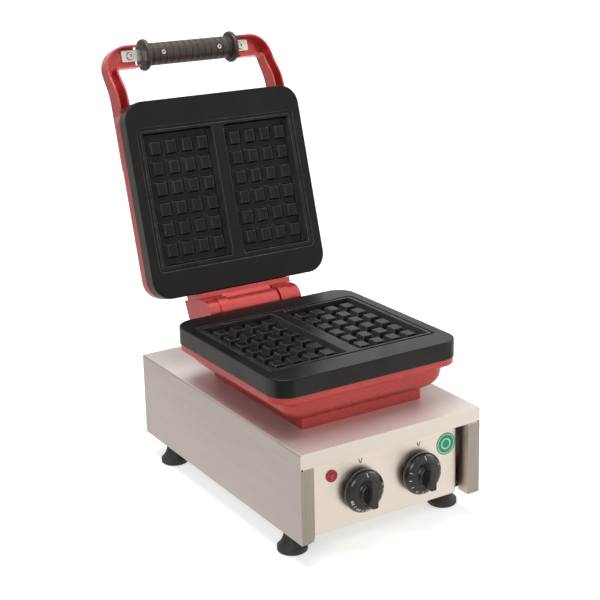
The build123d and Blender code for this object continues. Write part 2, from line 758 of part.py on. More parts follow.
def clamp_bolts():
    """Bolts through the clamp plate into the waffle plate, plate underside at Z = 0."""
    low = -2 * HEATER_R - CLAMP_T
    bolts = []
    for x, y in stud_places():
        head = post(BOLT_HEAD_R, x, y, low - BOLT_HEAD_H, low)
        bolts.append(head + post(BOLT_R, x, y, low, 6.5))
    return Compound(children=bolts)


def under_lower(shape, drop=0.0):
    """Put a shape under the lower plate."""
    return Pos(0, PLATE_Y, RIM_TOP - drop) * shape


def over_upper(shape, rise=0.0):
    """Put a mirrored shape above the upper plate, lid closed."""
    return Pos(0, PLATE_Y, LID_LOW + rise) * mirror(shape, Plane.XY)


# Lid

def lid_levels(inset):
    """Levels of the lid casting: upright wall, then a rounded shoulder."""
    w = PLATE_W - 2 * RIM_INSET
    l = PLATE_L - 2 * RIM_INSET
    top = LID_LOW + LID_WALL_H
    steps = [(0.0, LID_LOW), (0.0, top)]
    for n in range(1, 7):
        a = radians(n * 15)
        steps.append((LID_DOME_IN * (1 - cos(a)), top + LID_DOME_H * sin(a)))
    levels = []
    for step, z in steps:
        shrink = 2 * (step + inset)
        levels.append((w - shrink, l - shrink, PLATE_R - RIM_INSET - inset + step * 0.3, z))
    return levels


def s_curve(low, high, y_far):
    """Side line of an arm: level, then a smooth step up to the stub."""
    mid = (BEND_Y0 + BEND_Y1) / 2
    return [
        Line((ARM_ROOT_Y, low), (BEND_Y0, low)),
        Bezier((BEND_Y0, low), (mid, low), (mid, high), (BEND_Y1, high)),
        Line((BEND_Y1, high), (y_far, high)),
    ]


def arm_band(low0, low1, high0, high1, x0, x1):
    """A band between two side lines, pulled from x0 to x1."""
    y_far = STUB_Y0 - 2
    under = s_curve(low0, low1, y_far)
    over = s_curve(high0, high1, y_far)
    ends = [Line((y_far, low1), (y_far, high1)), Line((ARM_ROOT_Y, low0), (ARM_ROOT_Y, high0))]
    face = make_face(under + over + ends)
    return Pos(x0, 0, 0) * extrude(Plane.YZ * face, x1 - x0)


def arm_plan(inset, root_y, stub_in):
    """Plan of one arm and its stub, walls moved in by inset."""
    out = ARM_OUT - inset
    arm_in = ARM_IN + inset
    y0 = STUB_Y0 + inset
    y1 = STUB_Y1 - inset
    plan = block(arm_in, out, y0, root_y, 200, 300) + block(stub_in, out, y0, y1, 200, 300)
    corner = plan.edges().filter_by(Axis.Z).filter_by_position(Axis.X, out - 0.1, out + 0.1)
    plan = fillet(corner.sort_by(Axis.Y)[0], ARM_CORNER_R - inset)
    nook = plan.edges().filter_by(Axis.Z).filter_by_position(Axis.X, arm_in - 0.1, arm_in + 0.1)
    return fillet(nook.sort_by(Axis.Y)[0], 4.0 + inset)


def lid_arm():
    """Right arm: a channel that sweeps up and turns in to hold the handle bar."""
    near = ARM_IN - 4.0
    body = arm_band(ARM_LOW, STUB_LOW, ARM_HIGH, STUB_HIGH, near, ARM_OUT)
    body += block(STUB_IN, near, STUB_Y0 - 1, STUB_Y1 + 1, STUB_LOW, STUB_HIGH)
    body &= arm_plan(0.0, ARM_ROOT_Y, STUB_IN)
    floor0 = ARM_HIGH - ARM_FLOOR
    floor1 = STUB_HIGH - ARM_FLOOR
    groove = arm_band(ARM_LOW - 6, STUB_LOW - 6, floor0, floor1, near - 0.5, ARM_OUT)
    groove += block(STUB_IN - 5, near, STUB_Y0, STUB_Y1, STUB_LOW - 6, floor1)
    groove &= arm_plan(ARM_WALL, GROOVE_END_Y, STUB_IN - 5)
    return body - groove


def lid_housing():
    """Cast lid back with hinge leaf, barrel and the two handle arms."""
    casting = stack(lid_levels(0.0))
    casting += both(lid_arm())
    back = leaf_y()
    wall_top = LID_LOW + LID_WALL_H
    casting += block(-LEAF_HALF, LEAF_HALF, PLATE_BACK - 8, back, LID_LOW, wall_top)
    casting += block(-LEAF_HALF, LEAF_HALF, PLATE_BACK + MEET_GAP, back, PLATE_HIGH_Z, wall_top)
    web = [(back - 2, PART_Z + 1), (HINGE_Y - 12, HINGE_Z), (HINGE_Y, HINGE_Z),
           (HINGE_Y, HINGE_Z + KNUCKLE_R - 0.5), (back - 2, wall_top - 8)]
    casting += prism_x(web, -BARREL_HALF, BARREL_HALF)
    casting += bar_x(KNUCKLE_R - 0.5, -BARREL_HALF, BARREL_HALF, HINGE_Y, HINGE_Z)
    inside = lid_levels(WALL)
    inside[0] = inside[0][:3] + (LID_LOW - 1,)
    inside = [(w, l, r, z - (WALL if n > 0 else 0)) for n, (w, l, r, z) in enumerate(inside)]
    cavity = stack(inside)
    root = arm_band(ARM_LOW, STUB_LOW, ARM_HIGH, STUB_HIGH, ARM_IN, ARM_OUT)
    root &= block(ARM_IN, ARM_OUT, 40, ARM_ROOT_Y, 200, 300)
    casting -= cavity - both(root)
    casting -= bar_x(PIN_R + PIN_GAP, -BARREL_HALF - 1, BARREL_HALF + 1, HINGE_Y, HINGE_Z)
    for x in (-BAR_SCREW_X, BAR_SCREW_X):
        casting -= post(BAR_HOLE_R, x, HANDLE_Y, BAR_Z, STUB_HIGH + 1)
    return casting


def handle_bar():
    """Flat steel bar between the arms."""
    bar = block(-BAR_HALF, BAR_HALF, HANDLE_Y - BAR_W / 2, HANDLE_Y + BAR_W / 2, BAR_Z, BAR_Z + BAR_T)
    bar = fillet(bar.edges().filter_by(Axis.Z), 1.5)
    for x in (-BAR_SCREW_X, BAR_SCREW_X):
        bar -= post(BAR_HOLE_R, x, HANDLE_Y, BAR_Z - 1, BAR_Z + BAR_T + 1)
    for x in GRIP_SCREW_X:
        bar -= post(GRIP_HOLE_R, x, HANDLE_Y, BAR_Z - 1, BAR_Z + BAR_T + 1)
    return bar


def bar_screws():
    """Screws that hold the bar in the stubs."""
    screws = []
    for x in (-BAR_SCREW_X, BAR_SCREW_X):
        head = post(4.9, x, HANDLE_Y, BAR_Z - 2.6, BAR_Z)
        head = fillet(head.edges().group_by(Axis.Z)[0], 0.9)
        head += post(2.5, x, HANDLE_Y, BAR_Z, STUB_HIGH)
        screws.append(head - post(2.2, x, HANDLE_Y, BAR_Z - 3, BAR_Z - 1.2))
    return Compound(children=screws)


def grip_form():
    """Whole grip: ribbed barrel between two rounded flanges, along X."""
    barrel = bar_x(GRIP_R, GRIP_MID - GRIP_HALF, GRIP_MID + GRIP_HALF, HANDLE_Y, GRIP_Z)
    inner = GRIP_HALF - GRIP_FLANGE_T
    for n in range(GRIP_RIBS):
        x = GRIP_MID + (n - (GRIP_RIBS - 1) / 2) * 2 * (inner - 5) / (GRIP_RIBS - 1)
        ring = bar_x(GRIP_R + 1, x - 0.7, x + 0.7, HANDLE_Y, GRIP_Z)
        barrel -= ring - bar_x(GRIP_R - 0.7, x - 1, x + 1, HANDLE_Y, GRIP_Z)
    for side in (-1, 1):
        near = GRIP_MID + side * inner
        flange = bar_x(GRIP_FLANGE_R, near, near + side * GRIP_FLANGE_T, HANDLE_Y, GRIP_Z)
        barrel += fillet(flange.edges().filter_by(GeomType.CIRCLE), 2.8)
    half = BAR_W / 2 + GRIP_SLOT_GAP
    slot_z = (BAR_Z - GRIP_SLOT_GAP, BAR_Z + BAR_T + GRIP_SLOT_GAP)
    barrel -= block(-90, 90, HANDLE_Y - half, HANDLE_Y + half, slot_z[0], slot_z[1])
    for x in GRIP_SCREW_X:
        barrel -= post(1.9, x, HANDLE_Y, GRIP_Z - 30, GRIP_Z + 10)
        barrel -= post(3.4, x, HANDLE_Y, GRIP_Z - 30, GRIP_Z - GRIP_R + 3.5)
    return barrel


def grip_half(side):
    """Half of the grip, below or above the bar's middle plane."""
    z0 = GRIP_Z - 40 if side < 0 else GRIP_Z
    return grip_form() & block(-100, 100, HANDLE_Y - 40, HANDLE_Y + 40, z0, z0 + 40)


def grip_screws():
    """Two screws that clamp the grip halves on the bar."""
    screws = []
    for x in GRIP_SCREW_X:
        seat = GRIP_Z - GRIP_R + 3.5
        screw = post(3.1, x, HANDLE_Y, seat - 2.6, seat) + post(1.8, x, HANDLE_Y, seat, GRIP_Z + 9.5)
        screws.append(screw - post(1.5, x, HANDLE_Y, seat - 3, seat - 1))
    return Compound(children=screws)


def fixed_parts():
    """Everything that stays with the base."""
    plate = waffle_plate(LOWER_T)
    names = ("foot_front_left", "foot_front_right", "foot_back_left", "foot_back_right")
    parts = {name: foot(x, y) for name, (x, y) in zip(names, foot_places())}
    parts.update({
        "cover_shell": cover_shell(),
        "control_panel": control_panel(),
        "bottom_plate": bottom_plate(),
        "rear_panel": rear_panel(),
        "foot_screws": foot_screws(),
        "foot_nuts": foot_nuts(),
        "floor_screws": floor_screws(),
        "thermostat_body": thermostat_body(),
        "timer_body": timer_body(),
        "neck_nuts": neck_nuts(),
        "lamp_bezel": lamp_bezel(),
        "lamp_lens": lamp_lens(),
        "lamp_nut": lamp_nut(),
        "round_label": round_label(),
        "terminal_block": terminal_block(),
        "cable_gland": cable_gland(),
        "gland_nut": gland_nut(),
        "lower_housing": lower_housing(),
        "housing_bolts": housing_bolts(),
        "hinge_pin": hinge_pin(),
        "pin_screws": pin_screws(),
        "lower_plate": Pos(0, PLATE_Y, PLATE_LOW_Z) * plate,
        "lower_heater": under_lower(heater()),
        "lower_clamp": under_lower(clamp_plate(), 2 * HEATER_R),
        "lower_insulation": under_lower(insulation(), 2 * HEATER_R + CLAMP_T),
        "lower_clamp_bolts": under_lower(clamp_bolts()),
    })
    return parts


def knob_parts():
    """The two knobs and their shafts."""
    form = knob_form()
    return {
        "thermostat_knob": turned(form, KNOB_X[0]),
        "thermostat_shaft": shaft(KNOB_X[0]),
        "timer_knob": turned(form, KNOB_X[1]),
        "timer_shaft": shaft(KNOB_X[1]),
    }


def lid_parts():
    """Everything that turns with the lid, drawn closed."""
    plate = mirror(waffle_plate(UPPER_T), Plane.XY)
    return {
        "lid_housing": lid_housing(),
        "upper_plate": Pos(0, PLATE_Y, PLATE_HIGH_Z) * plate,
        "upper_heater": over_upper(heater()),
        "upper_clamp": over_upper(clamp_plate(), 2 * HEATER_R),
        "upper_insulation": over_upper(insulation(), 2 * HEATER_R + CLAMP_T),
        "upper_clamp_bolts": over_upper(clamp_bolts()),
        "handle_bar": handle_bar(),
        "bar_screws": bar_screws(),
        "grip_front": grip_half(-1),
        "grip_back": grip_half(1),
        "grip_screws": grip_screws(),
    }


def all_parts():
    """Every node in its rest place, before the origin is set."""
    parts = fixed_parts()
    parts.update(knob_parts())
    parts.update({name: opened(shape) for name, shape in lid_parts().items()})
    return parts


def origin_shift(parts):
    """Move that puts the origin at the middle of the bottom of the whole box."""
    boxes = [shape.bounding_box() for shape in parts.values()]
    y0 = min(box.min.Y for box in boxes)
    y1 = max(box.max.Y for box in boxes)
    x0 = min(box.min.X for box in boxes)
    x1 = max(box.max.X for box in boxes)
    z0 = min(box.min.Z for box in boxes)
    return (-(x0 + x1) / 2, -(y0 + y1) / 2, -z0)


def write_parts():
    """Write one STEP file per node."""
    os.makedirs("parts", exist_ok=True)
    parts = all_parts()
    shift = origin_shift(parts)
    for name, shape in parts.items():
        export_step(Pos(*shift) * shape, f"parts/{name}.step")
        print(name)
    print("shift", shift)


if __name__ == "__main__":
    write_parts()
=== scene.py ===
import json
import math

import bmesh
import bpy
from mathutils import Matrix, Vector

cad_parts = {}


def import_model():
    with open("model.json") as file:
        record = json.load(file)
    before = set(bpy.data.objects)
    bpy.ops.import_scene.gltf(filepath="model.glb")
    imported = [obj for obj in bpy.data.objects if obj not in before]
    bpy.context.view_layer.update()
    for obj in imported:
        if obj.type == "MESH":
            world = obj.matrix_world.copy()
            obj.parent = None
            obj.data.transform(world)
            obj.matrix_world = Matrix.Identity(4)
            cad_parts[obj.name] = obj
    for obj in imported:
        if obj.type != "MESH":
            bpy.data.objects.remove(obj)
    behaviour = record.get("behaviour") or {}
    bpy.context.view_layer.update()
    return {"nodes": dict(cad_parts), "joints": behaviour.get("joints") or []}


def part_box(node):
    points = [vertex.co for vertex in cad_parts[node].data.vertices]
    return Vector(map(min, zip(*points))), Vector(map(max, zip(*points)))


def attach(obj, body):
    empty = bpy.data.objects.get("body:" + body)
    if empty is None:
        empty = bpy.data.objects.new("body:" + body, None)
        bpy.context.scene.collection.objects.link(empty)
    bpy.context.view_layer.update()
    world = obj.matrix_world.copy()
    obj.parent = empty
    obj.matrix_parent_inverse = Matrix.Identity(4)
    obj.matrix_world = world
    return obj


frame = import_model()
nodes = frame["nodes"]
joints = {joint["name"]: joint for joint in frame["joints"]}

# Camera of the photograph, in metres and degrees
CAMERA_AT = (-0.849000, -1.428029, 0.760854)
CAMERA_YAW = 31.583
CAMERA_PITCH = -15.204
CAMERA_ROLL = -1.268
PICTURE_W = 600
FOCAL_PIXELS = 1380.24
SENSOR = 36.0
FOCAL = FOCAL_PIXELS * SENSOR / PICTURE_W
SHIFT_Y = -0.1

# Places that the frame gives, in metres
MM = 0.001
CONTROLS = ("thermostat", "timer")
PANEL_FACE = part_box("control_panel")[0][1]
KNOB_X = {kind: joints[f"{kind}_turn"]["pos_m"][0] for kind in CONTROLS}
KNOB_Z = joints["thermostat_turn"]["pos_m"][2]

# Top of the corner posts, under the lip
POST_TOP = 119.9 * MM
POST_FADE = 0.6 * MM

# Paint on the dials: angles in degrees, clockwise from the top
DIAL_R = 21.6 * MM
DIAL_H = 14.02 * MM
DIAL_SLOPE = 34.0
PAINT = 0.12 * MM
TICK_L = 3.6 * MM
TICK_W = 0.9 * MM
TICK_R = 0.35 * TICK_W
TOP_TICK = 1.5
NUMBER_H = 4.2 * MM
NUMBER_BOLD = 0.05 * MM
DIAL_TICKS = {
    "thermostat": [0, 93, 128, 163, 198, 233],
    "timer": [0, 64, 89, 114, 139, 165, 190, 215, 240, 265, 290],
}
DIAL_NUMBERS = {"thermostat": [50, 100, 150, 200, 250, 300]}
FIRST_NUMBER = 75
NUMBER_STEP = 35

# Paint in the V above each knob
MARK_Z = 106 * MM
MARK_SPREAD = 1.3 * MM
MARK_LEAN = 22
MARK_W = 0.95 * MM
MARK_L = 5.9 * MM
MARK_R = 0.2 * MM
MARK_SINK = 0.28 * MM
MARK_PROUD = 0.04 * MM

# Print on the round label: inner and outer radius of each ring
LABEL_T = 0.3 * MM
LABEL_R = 13.7 * MM
LABEL_LOW, LABEL_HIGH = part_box("round_label")
LABEL_X = LABEL_HIGH[0] - LABEL_R
LABEL_Z = (LABEL_LOW[2] + LABEL_HIGH[2]) / 2
LABEL_RINGS = ((11.2 * MM, 12.3 * MM), (5.2 * MM, 7.0 * MM))
RING_SINK = 0.05 * MM
RING_PROUD = 0.08 * MM

# Fineness of the small pieces
CORNER_STEPS = 4
RING_STEPS = 72

# Colours, as linear red, green and blue
STEEL_SIDE = (0.62, 0.56, 0.53)
# Top of the cover painted lighter than its sides: painted light
STEEL_TOP_LIT = (0.74, 0.69, 0.66)
# Front lip of the cover painted brighter: a painted highlight
STEEL_LIP_HIGHLIGHT = ((0.82, 0.765, 0.69), (0.90, 0.845, 0.765))
# Corner posts painted darker: painted shade in place of their darker reflection
STEEL_POST_SHADE = ((0.36, 0.325, 0.28), (0.49, 0.445, 0.385))
# Panel steel painted brighter in place of stronger front light
STEEL_PANEL_LIT = (0.93, 0.85, 0.765)
STEEL_BRIGHT = (0.74, 0.71, 0.67)
STEEL_PIN = (0.52, 0.50, 0.48)
ZINC = (0.60, 0.585, 0.55)
ZINC_SHEET = (0.52, 0.51, 0.49)
# Painted shade for recesses round screws and fixings
RECESS_SHADE = (0.03, 0.025, 0.022)
RED_DEEP = (0.42, 0.034, 0.034)
RED_FLAKE = (0.76, 0.118, 0.105)
RED_CLOUD = (0.42, 0.032, 0.034)
# Painted shade: dark red for grooves and recesses
RED_HOLLOW_SHADE = (0.10, 0.004, 0.006)
IRON = ((0.006, 0.0058, 0.0055), (0.010, 0.0096, 0.009))
IRON_SIDE = (0.050, 0.046, 0.041)
# Painted highlight along the plate edges
IRON_EDGE_HIGHLIGHT = (0.20, 0.197, 0.19)
RUBBER = ((0.030, 0.028, 0.027), (0.085, 0.078, 0.073))
LENS = ((0.62, 0.008, 0.012), (0.30, 0.002, 0.004))
CERAMIC = ((0.72, 0.69, 0.63), (0.52, 0.49, 0.44))
LAMP_RED = (0.30, 0.012, 0.014)
KNOB_BLACK = (0.0075, 0.0075, 0.0078)
BAKELITE = (0.026, 0.020, 0.017)
NYLON = (0.012, 0.012, 0.012)
SWITCH = (0.03, 0.03, 0.032)
INK_WHITE = (0.78, 0.77, 0.74)
INK_GREY = (0.05, 0.05, 0.05)
LABEL_GREEN = (0.002, 0.46, 0.22)
LABEL_WHITE = (0.82, 0.84, 0.80)
INK_WORN = 0.12
WHITE = (1.0, 1.0, 1.0)
WARM_WHITE = (1.0, 0.985, 0.97)

# Stage, in metres
FLOOR_SIZE = 14.0
FLOOR_PALE = ((0.90, 0.90, 0.90), (0.88, 0.88, 0.885))
FLOOR_SEEN = ((0.50, 0.47, 0.46), (1.0, 0.97, 0.93))
ROOM_DARK = (0.30, 0.29, 0.285)
ROOM_SEEN = (0.8, 0.8, 0.8)
FILL = 0.32


# Node graphs

class Tree:
    """A node tree, with short ways to add and join nodes."""

    def __init__(self, tree):
        self.tree = tree
        self.tree.nodes.clear()

    def add(self, kind, **values):
        node = self.tree.nodes.new(kind)
        for key, value in values.items():
            setattr(node, key, value)
        return node

    def join(self, a, b):
        self.tree.links.new(a, b)

    def put(self, node, socket, value):
        """Set a socket to a constant, or join it to another node's output."""
        if isinstance(value, bpy.types.NodeSocket):
            self.join(value, node.inputs[socket])
        else:
            node.inputs[socket].default_value = value

    def tone(self, node, socket, colour):
        """Like put, for a colour given as three numbers."""
        linked = isinstance(colour, bpy.types.NodeSocket)
        self.put(node, socket, colour if linked else (*colour, 1.0))

    def span(self, value, low, high, to_low, to_high):
        """Map a value's range to another, clamped."""
        node = self.add("ShaderNodeMapRange")
        self.join(value, node.inputs["Value"])
        for key, number in zip(("From Min", "From Max", "To Min", "To Max"), (low, high, to_low, to_high)):
            node.inputs[key].default_value = number
        return node.outputs["Result"]

    def blend(self, factor, a, b):
        """Mix two colours."""
        node = self.add("ShaderNodeMix", data_type="RGBA")
        self.put(node, 0, factor)
        self.tone(node, 6, a)
        self.tone(node, 7, b)
        return node.outputs[2]

    def calc(self, operation, a, b):
        node = self.add("ShaderNodeMath", operation=operation)
        self.put(node, 0, a)
        self.put(node, 1, b)
        return node.outputs[0]

    def part(self, vector, index):
        """One of a vector's three numbers."""
        node = self.add("ShaderNodeSeparateXYZ")
        self.join(vector, node.inputs[0])
        return node.outputs[index]

    def pick(self, factor, a, b):
        """Shader a where factor is 0, and b where it is 1."""
        node = self.add("ShaderNodeMixShader")
        for index, value in enumerate((factor, a, b)):
            self.join(value, node.inputs[index])
        return node.outputs[0]

    def background(self, colour, strength):
        node = self.add("ShaderNodeBackground")
        self.tone(node, "Color", colour)
        node.inputs["Strength"].default_value = strength
        return node.outputs[0]


class Graph(Tree):
    """A material's node tree round one main shader."""

    def __init__(self, name):
        self.material = bpy.data.materials.new(name)
        self.material.use_nodes = True
        super().__init__(self.material.node_tree)
        self.output = self.add("ShaderNodeOutputMaterial")
        self.shader = self.add("ShaderNodeBsdfPrincipled")
        self.join(self.shader.outputs[0], self.output.inputs["Surface"])
        self.place = self.add("ShaderNodeTexCoord").outputs["Object"]

    def set(self, **values):
        """Constants and links on the main shader."""
        for key, value in values.items():
            self.put(self.shader, key.replace("_", " "), value)

    def stretch(self, scale):
        """Coordinates scaled per axis, so that noise gets a direction."""
        node = self.add("ShaderNodeMapping")
        node.inputs["Scale"].default_value = scale
        self.join(self.place, node.inputs["Vector"])
        return node.outputs[0]

    def noise(self, scale, detail=3.0, rough=0.5, at=None):
        node = self.add("ShaderNodeTexNoise")
        self.join(at or self.place, node.inputs["Vector"])
        node.inputs["Scale"].default_value = scale
        node.inputs["Detail"].default_value = detail
        node.inputs["Roughness"].default_value = rough
        return node.outputs["Fac"]

    def scratches(self, fine, long):
        """Brush lines of two lengths, each with its own scale per axis."""
        close = self.noise(1.0, 4.0, 0.7, self.stretch(fine))
        wide = self.noise(1.0, 2.0, 0.5, self.stretch(long))
        return self.calc("ADD", self.calc("MULTIPLY", close, 0.6), self.calc("MULTIPLY", wide, 0.4))

    def facing(self, index):
        """One part of the direction that a flat face looks in."""
        return self.part(self.add("ShaderNodeNewGeometry").outputs["True Normal"], index)

    def round_edges(self, radius):
        """A normal that rounds sharp edges by a small radius."""
        node = self.add("ShaderNodeBevel", samples=4)
        node.inputs["Radius"].default_value = radius
        return node.outputs[0]

    def turned(self, soft):
        """1 where the rounded normal is the surface's own, less near an edge."""
        node = self.add("ShaderNodeVectorMath", operation="DOT_PRODUCT")
        self.join(soft, node.inputs[0])
        self.join(self.add("ShaderNodeNewGeometry").outputs["Normal"], node.inputs[1])
        return node.outputs["Value"]

    def hollows(self, reach):
        """Openness of the surface: low in grooves and corners, where painted shade goes."""
        node = self.add("ShaderNodeAmbientOcclusion", samples=6)
        node.inputs["Distance"].default_value = reach
        return node.outputs["AO"]

    def bump(self, height, depth, normal=None):
        """Relief of a given depth in metres, over an earlier normal."""
        node = self.add("ShaderNodeBump")
        self.join(height, node.inputs["Height"])
        node.inputs["Distance"].default_value = depth
        if normal is not None:
            self.join(normal, node.inputs["Normal"])
        self.join(node.outputs[0], self.shader.inputs["Normal"])

    def relief(self, height, depth, edge=0.0):
        """Bump on the main shader, over rounded edges when edge is above 0."""
        self.bump(height, depth, self.round_edges(edge) if edge else None)


def shade(colour, factor):
    return [channel * factor for channel in colour]


# Materials

def brushed(name, colour, rough, grain, streaks):
    """Brushed stainless sheet; grain scales the noise, small along the brush lines."""
    g = Graph(name)
    lines = g.scratches(grain, shade(grain, 0.2))
    cloud = g.noise(9.0, 3.0, 0.55)
    dark = shade(colour, 1 - streaks)
    light = [min(1.0, channel) for channel in shade(colour, 1 + streaks)]
    tint = g.blend(g.span(lines, 0.32, 0.68, 0.0, 1.0), dark, light)
    tint = g.blend(g.span(cloud, 0.35, 0.7, 0.0, 0.12), tint, shade(colour, 0.86))
    g.set(Base_Color=tint, Metallic=1.0, Roughness=g.span(lines, 0.3, 0.7, rough - 0.05, rough + 0.07))
    g.relief(lines, 0.01 * MM, 0.4 * MM)
    return g.material


def cover_steel():
    """Cover sheet: sides brushed lengthwise, a lip painted brighter as a highlight, posts painted darker
    as shade and a softer top painted lighter.
    """
    g = Graph("cover_steel")
    lines = g.scratches((2400, 60, 2400), (500, 14, 500))
    smear = g.noise(7.0, 4.0, 0.6, g.stretch((1.0, 0.5, 1.6)))
    tint = g.blend(g.span(lines, 0.3, 0.7, 0.0, 1.0), shade(STEEL_SIDE, 0.92), shade(STEEL_SIDE, 1.08))
    tint = g.blend(g.span(smear, 0.4, 0.75, 0.0, 0.14), tint, shade(STEEL_SIDE, 0.82))
    front = g.span(g.facing(1), -0.9, -0.7, 1.0, 0.0)
    height = g.part(g.place, 2)
    low = g.span(height, POST_TOP - POST_FADE, POST_TOP, 1.0, 0.0)
    high = g.span(height, POST_TOP - POST_FADE, POST_TOP, 0.0, 1.0)
    upright = g.noise(1.0, 4.0, 0.7, g.stretch((2400, 2400, 40)))
    # Painted shade: posts darker than the rest of the sheet, with upright grain
    post_shade = g.blend(g.span(upright, 0.3, 0.7, 0.0, 1.0), *STEEL_POST_SHADE)
    tint = g.blend(g.calc("MULTIPLY", front, low), tint, post_shade)
    across = g.noise(1.0, 3.0, 0.6, g.stretch((60, 400, 2600)))
    # Painted highlight: the front lip brighter than the rest of the sheet
    lip_highlight = g.blend(g.span(across, 0.3, 0.7, 0.0, 1.0), *STEEL_LIP_HIGHLIGHT)
    tint = g.blend(g.calc("MULTIPLY", front, high), tint, lip_highlight)
    top = g.span(g.facing(2), 0.8, 0.95, 0.0, 1.0)
    # Painted light: up-facing faces lighter, in place of less red reflection
    tint = g.blend(top, tint, g.blend(0.5, tint, STEEL_TOP_LIT))
    rough = g.calc("ADD", g.span(smear, 0.3, 0.7, 0.27, 0.35), g.calc("MULTIPLY", top, 0.16))
    metal = g.calc("SUBTRACT", 1.0, g.calc("MULTIPLY", top, 0.4))
    g.set(Base_Color=tint, Metallic=metal, Roughness=rough, Anisotropic=0.3)
    g.relief(lines, 0.008 * MM, 0.5 * MM)
    return g.material


def red_enamel():
    """Metallic red paint on cast aluminium: flakes, orange peel and a clear coat."""
    g = Graph("red_enamel")
    flakes = g.noise(1450.0, 4.0, 0.7)
    cloud = g.noise(14.0, 3.0, 0.55)
    tint = g.blend(g.span(flakes, 0.38, 0.66, 0.0, 1.0), RED_DEEP, RED_FLAKE)
    tint = g.blend(g.span(cloud, 0.35, 0.7, 0.0, 0.35), tint, RED_CLOUD)
    # Painted shade: darker red in grooves and recesses
    tint = g.blend(g.span(g.hollows(14 * MM), 0.25, 0.8, 0.25, 0.0), tint, RED_HOLLOW_SHADE)
    g.set(Base_Color=tint, Metallic=0.65, Roughness=g.span(cloud, 0.3, 0.7, 0.27, 0.36))
    g.set(Coat_Weight=0.4, Coat_Roughness=0.18)
    g.relief(g.noise(420.0, 3.0, 0.5), 0.05 * MM, 1.2 * MM)
    return g.material


def iron_black():
    """Non-stick coated casting: fine sand texture, paler sides and painted highlights along the edges."""
    g = Graph("iron_black")
    sand = g.noise(1500.0, 4.0, 0.6)
    cloud = g.noise(22.0, 4.0, 0.6)
    tint = g.blend(g.span(cloud, 0.3, 0.75, 0.0, 1.0), *IRON)
    sideways = g.facing(0)
    side = g.span(g.calc("MULTIPLY", sideways, sideways), 0.6, 0.9, 0.0, 1.0)
    front = g.calc("MULTIPLY", g.span(g.facing(1), -0.995, -0.975, 1.0, 0.0), 0.45)
    band = g.calc("MULTIPLY", g.calc("MAXIMUM", side, front), g.span(cloud, 0.3, 0.6, 0.6, 1.0))
    tint = g.blend(band, tint, IRON_SIDE)
    soft = g.round_edges(1.3 * MM)
    edge = g.span(g.turned(soft), 0.80, 0.97, 1.0, 0.0)
    # Painted highlight: pale lines along the edges, in patches
    patchy_highlight = g.calc("MULTIPLY", edge, g.span(g.noise(60.0, 3.0), 0.35, 0.6, 0.45, 1.0))
    tint = g.blend(patchy_highlight, tint, IRON_EDGE_HIGHLIGHT)
    g.set(Base_Color=tint, Metallic=0.0, Roughness=g.span(cloud, 0.3, 0.7, 0.26, 0.38))
    g.set(Specular_IOR_Level=0.19)
    g.bump(sand, 0.04 * MM, soft)
    return g.material


def moulded(name, colour, rough, grain=1800.0, depth=0.03 * MM, edge=0.5 * MM, coat=0.0):
    """Moulded plastic or bakelite with a fine grain and faint cloudy wear."""
    g = Graph(name)
    fine = g.noise(grain, 3.0, 0.55)
    cloud = g.noise(45.0, 4.0, 0.6)
    worn = [channel * 1.5 + 0.002 for channel in colour]
    tint = g.blend(g.span(cloud, 0.35, 0.7, 0.0, 1.0), colour, worn)
    g.set(Base_Color=tint, Roughness=g.span(cloud, 0.3, 0.7, rough - 0.05, rough + 0.07))
    g.set(Coat_Weight=coat, Coat_Roughness=0.15)
    g.relief(fine, depth, edge)
    return g.material


def rubber():
    """Matt black rubber with dust in its pores."""
    g = Graph("foot_rubber")
    dust = g.noise(60.0, 5.0, 0.65)
    tint = g.blend(g.span(dust, 0.45, 0.8, 0.0, 0.6), *RUBBER)
    g.set(Base_Color=tint, Roughness=g.span(dust, 0.3, 0.7, 0.5, 0.68))
    g.relief(g.noise(1300.0, 4.0, 0.6), 0.06 * MM, 0.5 * MM)
    return g.material


def turned_metal(name, colour, rough):
    """Small machined or plated metal parts, with painted shade in their recesses."""
    g = Graph(name)
    spots = g.noise(160.0, 4.0, 0.6)
    tint = g.blend(g.span(spots, 0.4, 0.75, 0.0, 0.7), colour, shade(colour, 0.68))
    # Painted shade: darker in recesses round screw heads and slots
    tint = g.blend(g.span(g.hollows(2.2 * MM), 0.45, 0.85, 0.9, 0.0), tint, RECESS_SHADE)
    g.set(Base_Color=tint, Metallic=1.0, Roughness=g.span(spots, 0.3, 0.7, rough - 0.04, rough + 0.1))
    g.relief(g.noise(1.0, 3.0, 0.6, g.stretch((900, 900, 2500))), 0.01 * MM, 0.3 * MM)
    return g.material


def red_lens():
    """Translucent red lens, deeper red at its rim."""
    g = Graph("red_lens")
    layer = g.add("ShaderNodeLayerWeight")
    layer.inputs["Blend"].default_value = 0.35
    tint = g.blend(layer.outputs["Facing"], *LENS)
    g.set(Base_Color=tint, Roughness=0.12, Subsurface_Weight=0.25, Subsurface_Scale=3 * MM)
    g.set(Coat_Weight=0.6, Coat_Roughness=0.05)
    g.relief(g.noise(700.0, 2.0, 0.5), 0.02 * MM)
    return g.material


def printed(name, colour, rough):
    """Ink or foil with slight unevenness."""
    g = Graph(name)
    uneven = g.noise(900.0, 3.0, 0.6)
    tint = g.blend(g.span(uneven, 0.4, 0.8, 0.0, 1.0), colour, shade(colour, 1 - INK_WORN))
    g.set(Base_Color=tint, Roughness=g.span(uneven, 0.3, 0.7, rough - 0.05, rough + 0.08))
    g.relief(uneven, 0.01 * MM)
    return g.material


